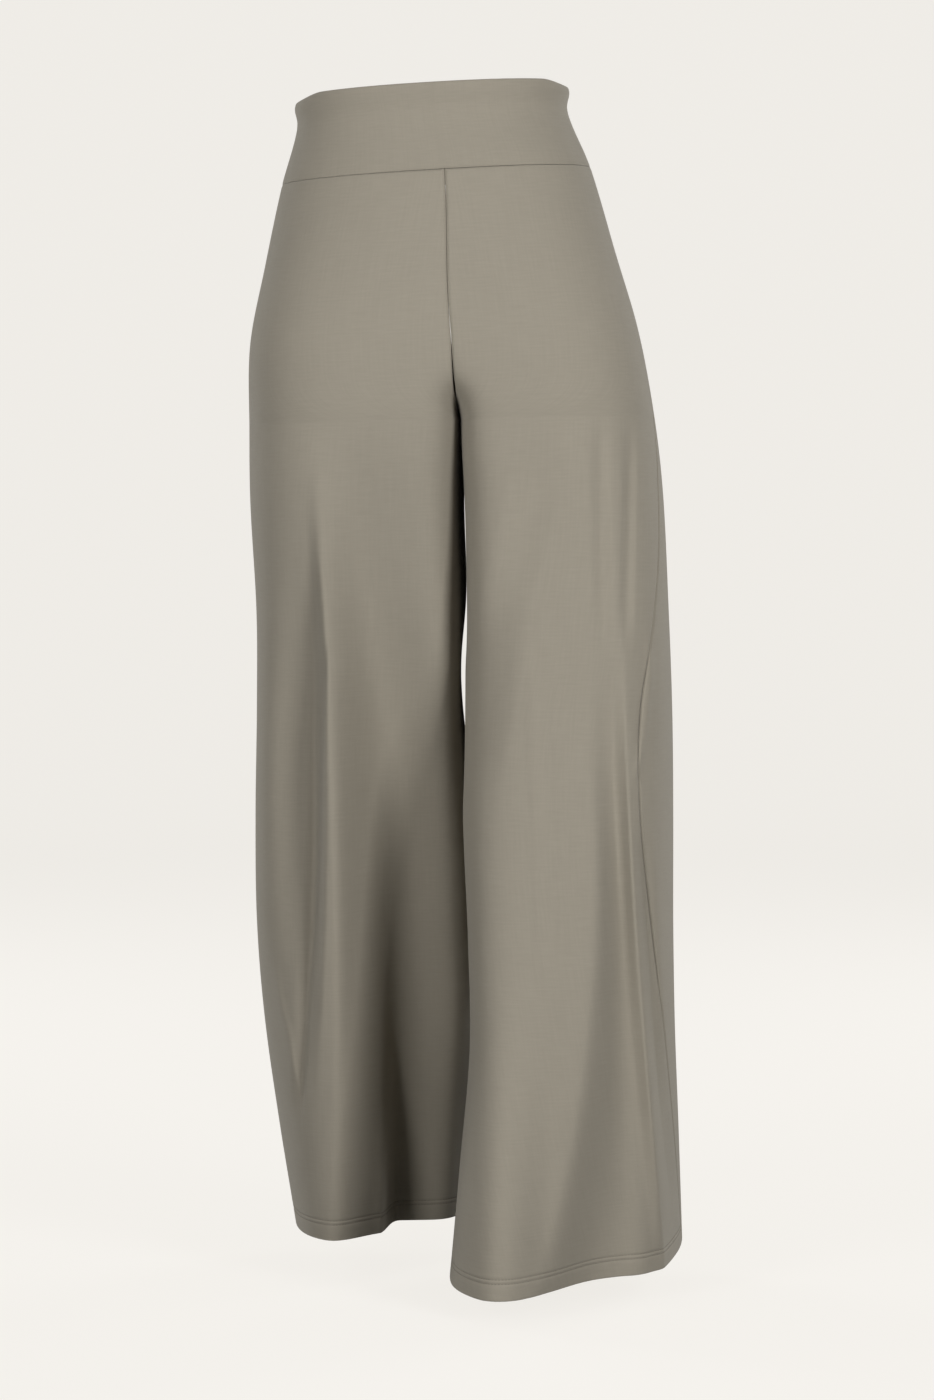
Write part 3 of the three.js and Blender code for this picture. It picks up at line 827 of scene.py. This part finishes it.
def knit_group():
    """Columns of small loops from the cut coordinates, and a slow mottle."""
    group, start, end = new_group(
        "knit",
        [("Cut", "NodeSocketVector", (0, 0, 0)), ("Wales per metre", "NodeSocketFloat", 900.0),
         ("Mottle", "NodeSocketFloat", 0.05)],
        [("Height", "NodeSocketFloat"), ("Shade", "NodeSocketFloat")])
    nodes, links = group.nodes, group.links
    parts = nodes.new("ShaderNodeSeparateXYZ")
    links.new(start.outputs["Cut"], parts.inputs[0])
    across = maths(nodes, links, "MULTIPLY", parts.outputs[0], start.outputs["Wales per metre"])
    down = maths(nodes, links, "MULTIPLY", parts.outputs[1], start.outputs["Wales per metre"])
    wale = maths(nodes, links, "SINE", maths(nodes, links, "MULTIPLY", across, 2 * math.pi))
    slant = maths(nodes, links, "ADD", maths(nodes, links, "MULTIPLY", down, 2 * math.pi * 1.3),
                  maths(nodes, links, "MULTIPLY", wale, 1.1))
    loop = maths(nodes, links, "SINE", slant)
    both = maths(nodes, links, "ADD", maths(nodes, links, "MULTIPLY", wale, 0.35),
                 maths(nodes, links, "MULTIPLY", loop, 0.15))
    links.new(maths(nodes, links, "ADD", both, 0.5), end.inputs["Height"])
    # Uneven yarn: some courses and wales are a little paler or darker than their neighbours.
    total = None
    for stretch, share in (((55, 620, 1), 0.45), ((560, 26, 1), 0.35), ((9, 14, 1), 0.2)):
        scaled = nodes.new("ShaderNodeVectorMath")
        scaled.operation = "MULTIPLY"
        scaled.inputs[1].default_value = stretch
        links.new(start.outputs["Cut"], scaled.inputs[0])
        streaks = nodes.new("ShaderNodeTexNoise")
        streaks.inputs["Scale"].default_value = 1.0
        streaks.inputs["Detail"].default_value = 3.0
        links.new(scaled.outputs[0], streaks.inputs["Vector"])
        part = maths(nodes, links, "MULTIPLY", streaks.outputs[0], share)
        total = part if total is None else maths(nodes, links, "ADD", total, part)
    centred = maths(nodes, links, "SUBTRACT", total, 0.5)
    scaled = maths(nodes, links, "MULTIPLY", centred, start.outputs["Mottle"])
    links.new(maths(nodes, links, "ADD", scaled, 1.0), end.inputs["Shade"])
    return group


KNIT = knit_group()


def cloth_material(name, colour, wales, mottle, bump, sheen):
    material = bpy.data.materials.new(name)
    material.use_nodes = True
    nodes, links = material.node_tree.nodes, material.node_tree.links
    shader = nodes["Principled BSDF"]
    shader.inputs["Roughness"].default_value = 0.88
    shader.inputs["Specular IOR Level"].default_value = 0.22
    shader.inputs["Sheen Weight"].default_value = sheen
    shader.inputs["Sheen Roughness"].default_value = 0.45
    shader.inputs["Sheen Tint"].default_value = (0.95, 0.92, 0.86, 1)
    cut = nodes.new("ShaderNodeAttribute")
    cut.attribute_name = "cut"
    knit = nodes.new("ShaderNodeGroup")
    knit.node_tree = KNIT
    knit.inputs["Wales per metre"].default_value = wales
    knit.inputs["Mottle"].default_value = mottle
    links.new(cut.outputs["Vector"], knit.inputs["Cut"])
    tint = nodes.new("ShaderNodeMix")
    tint.data_type = "RGBA"
    tint.blend_type = "MULTIPLY"
    tint.inputs["Factor"].default_value = 1.0
    tint.inputs["A"].default_value = (*colour, 1)
    links.new(knit.outputs["Shade"], tint.inputs["B"])
    links.new(tint.outputs["Result"], shader.inputs["Base Color"])
    bumps = nodes.new("ShaderNodeBump")
    bumps.inputs["Strength"].default_value = bump
    bumps.inputs["Distance"].default_value = 0.0003
    links.new(knit.outputs["Height"], bumps.inputs["Height"])
    links.new(bumps.outputs["Normal"], shader.inputs["Normal"])
    return material


JERSEY_COLOUR = (0.290, 0.262, 0.211)
THREAD_COLOUR = (0.15, 0.133, 0.105)
jersey = cloth_material("jersey", JERSEY_COLOUR, wales=1300, mottle=0.30, bump=0.35, sheen=0.25)
thread = cloth_material("thread", THREAD_COLOUR, wales=2600, mottle=0.12, bump=0.3, sheen=0.1)
for piece in [band] + [entry["piece"] for entry in panels.values()]:
    piece.data.materials.append(jersey)
for entry in panels.values():
    entry["stitches"].data.materials.append(thread)
print("materials:", jersey.name, thread.name)

# %% [markdown]
# ## Light and floor
# Two large soft lamps stand at the camera's sides and leave the middle dark. Smooth cloth is lit evenly
# by both, but a deep fold opens only to the dark gap between them, so it falls away almost to black. Two
# more lamps behind draw the pale rims. The pale floor sweeps up into a wall all round, so that no horizon
# shows from any side. It gives little light back to the cloth, like a floor with the garment on a stand.

# %% The floor and the wall
FLOOR_DROP = 0.022     # the hem hangs this far above the floor
FLOOR_RADIUS = 7.0
COVE_RADIUS = 1.6
WALL_TOP = 5.0
COVE_STEPS = 8
ROUND_STEPS = 96
PALE = (0.885, 0.860, 0.815)
GLOW = 0.945
SHADOW_PAINT = (0.11, 0.11, 0.11, 1)
DIM_PAINT = (0.25, 0.25, 0.25, 1)


def sweep_paint():
    """Pale to the eye, with soft shadows, but a dim source of light for the garment."""
    material = bpy.data.materials.new("floor_paint")
    material.use_nodes = True
    nodes, links = material.node_tree.nodes, material.node_tree.links
    nodes.remove(nodes["Principled BSDF"])
    glow = nodes.new("ShaderNodeEmission")
    glow.inputs["Color"].default_value = (*PALE, 1)
    glow.inputs["Strength"].default_value = GLOW
    pale = nodes.new("ShaderNodeBsdfDiffuse")
    pale.inputs["Color"].default_value = SHADOW_PAINT
    seen = nodes.new("ShaderNodeAddShader")
    links.new(glow.outputs[0], seen.inputs[0])
    links.new(pale.outputs[0], seen.inputs[1])
    dim = nodes.new("ShaderNodeBsdfDiffuse")
    dim.inputs["Color"].default_value = DIM_PAINT
    path = nodes.new("ShaderNodeLightPath")
    either = nodes.new("ShaderNodeMixShader")
    links.new(path.outputs["Is Camera Ray"], either.inputs["Fac"])
    links.new(dim.outputs[0], either.inputs[1])
    links.new(seen.outputs[0], either.inputs[2])
    links.new(either.outputs[0], nodes["Material Output"].inputs["Surface"])
    return material


def make_sweep():
    low = cad_box[0][2] - FLOOR_DROP
    profile = [(0.0, low), (2.0, low), (FLOOR_RADIUS - COVE_RADIUS, low)]
    for k in range(1, COVE_STEPS + 1):
        turn = math.pi / 2 * k / COVE_STEPS
        profile.append((FLOOR_RADIUS - COVE_RADIUS * (1 - math.sin(turn)),
                        low + COVE_RADIUS * (1 - math.cos(turn))))
    profile.append((FLOOR_RADIUS, low + WALL_TOP))
    vertices = [(r * math.cos(2 * math.pi * k / ROUND_STEPS), r * math.sin(2 * math.pi * k / ROUND_STEPS), z)
                for r, z in profile for k in range(ROUND_STEPS)]
    faces = []
    for j in range(len(profile) - 1):
        for k in range(ROUND_STEPS):
            after = (k + 1) % ROUND_STEPS
            ring, next_ring = j * ROUND_STEPS, (j + 1) * ROUND_STEPS
            faces.append((ring + k, ring + after, next_ring + after, next_ring + k))
    mesh = bpy.data.meshes.new("floor")
    mesh.from_pydata(vertices, [], faces)
    mesh.shade_smooth()
    mesh.materials.append(sweep_paint())
    floor = bpy.data.objects.new("floor", mesh)
    scene.collection.objects.link(floor)
    return floor


floor = make_sweep()
print("floor at", round(cad_box[0][2] - FLOOR_DROP, 3))

# %% [markdown]
# ## The lamps
# The two softboxes are tall and narrow, like those of a studio, and stand at eye height beside the camera.
# One is stronger, so that the legs are modelled and not flat. All face the middle of the garment.

# %% The lamps
LAMPS = table(
    ("name", "place", "size", "power"),
    ("right_softbox", (-2.3, 3.5, 0.5), (1.2, 2.6), 126),
    ("left_softbox", (2.1, 3.6, 0.3), (1.2, 2.6), 96),
    ("right_rim", (-2.6, -2.6, 0.4), (1.4, 2.4), 60),
    ("left_rim", (2.6, -2.6, 0.4), (1.4, 2.4), 60),
)


def add_area(name, place, target, size, power):
    data = bpy.data.lights.new(name, "AREA")
    data.shape = "RECTANGLE"
    data.size, data.size_y = size
    data.energy = power
    lamp = bpy.data.objects.new(name, data)
    lamp.location = place
    lamp.rotation_euler = (Vector(target) - Vector(place)).to_track_quat("-Z", "Y").to_euler()
    lamp.visible_camera = False
    scene.collection.objects.link(lamp)
    return lamp


middle = tuple((a + b) / 2 for a, b in zip(*cad_box))
for row in LAMPS:
    add_area(row["name"], row["place"], middle, row["size"], row["power"])
world = bpy.data.worlds.new("studio")
world.use_nodes = True
world.node_tree.nodes["Background"].inputs["Color"].default_value = (1.0, 0.99, 0.97, 1)
world.node_tree.nodes["Background"].inputs["Strength"].default_value = 0.10
scene.world = world
print(len(LAMPS), "lamps")

# %% [markdown]
# ## Join it to the frame
# Every piece rides on the one body of the garment and takes the place of its node.

# %% Ride and replace
for (side, face), entry in panels.items():
    piece = entry["piece"]
    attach(piece, "root")
    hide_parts(f"{side}_{face}")
    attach(entry["stitches"], "root")
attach(band, "root")
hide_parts("waistband")
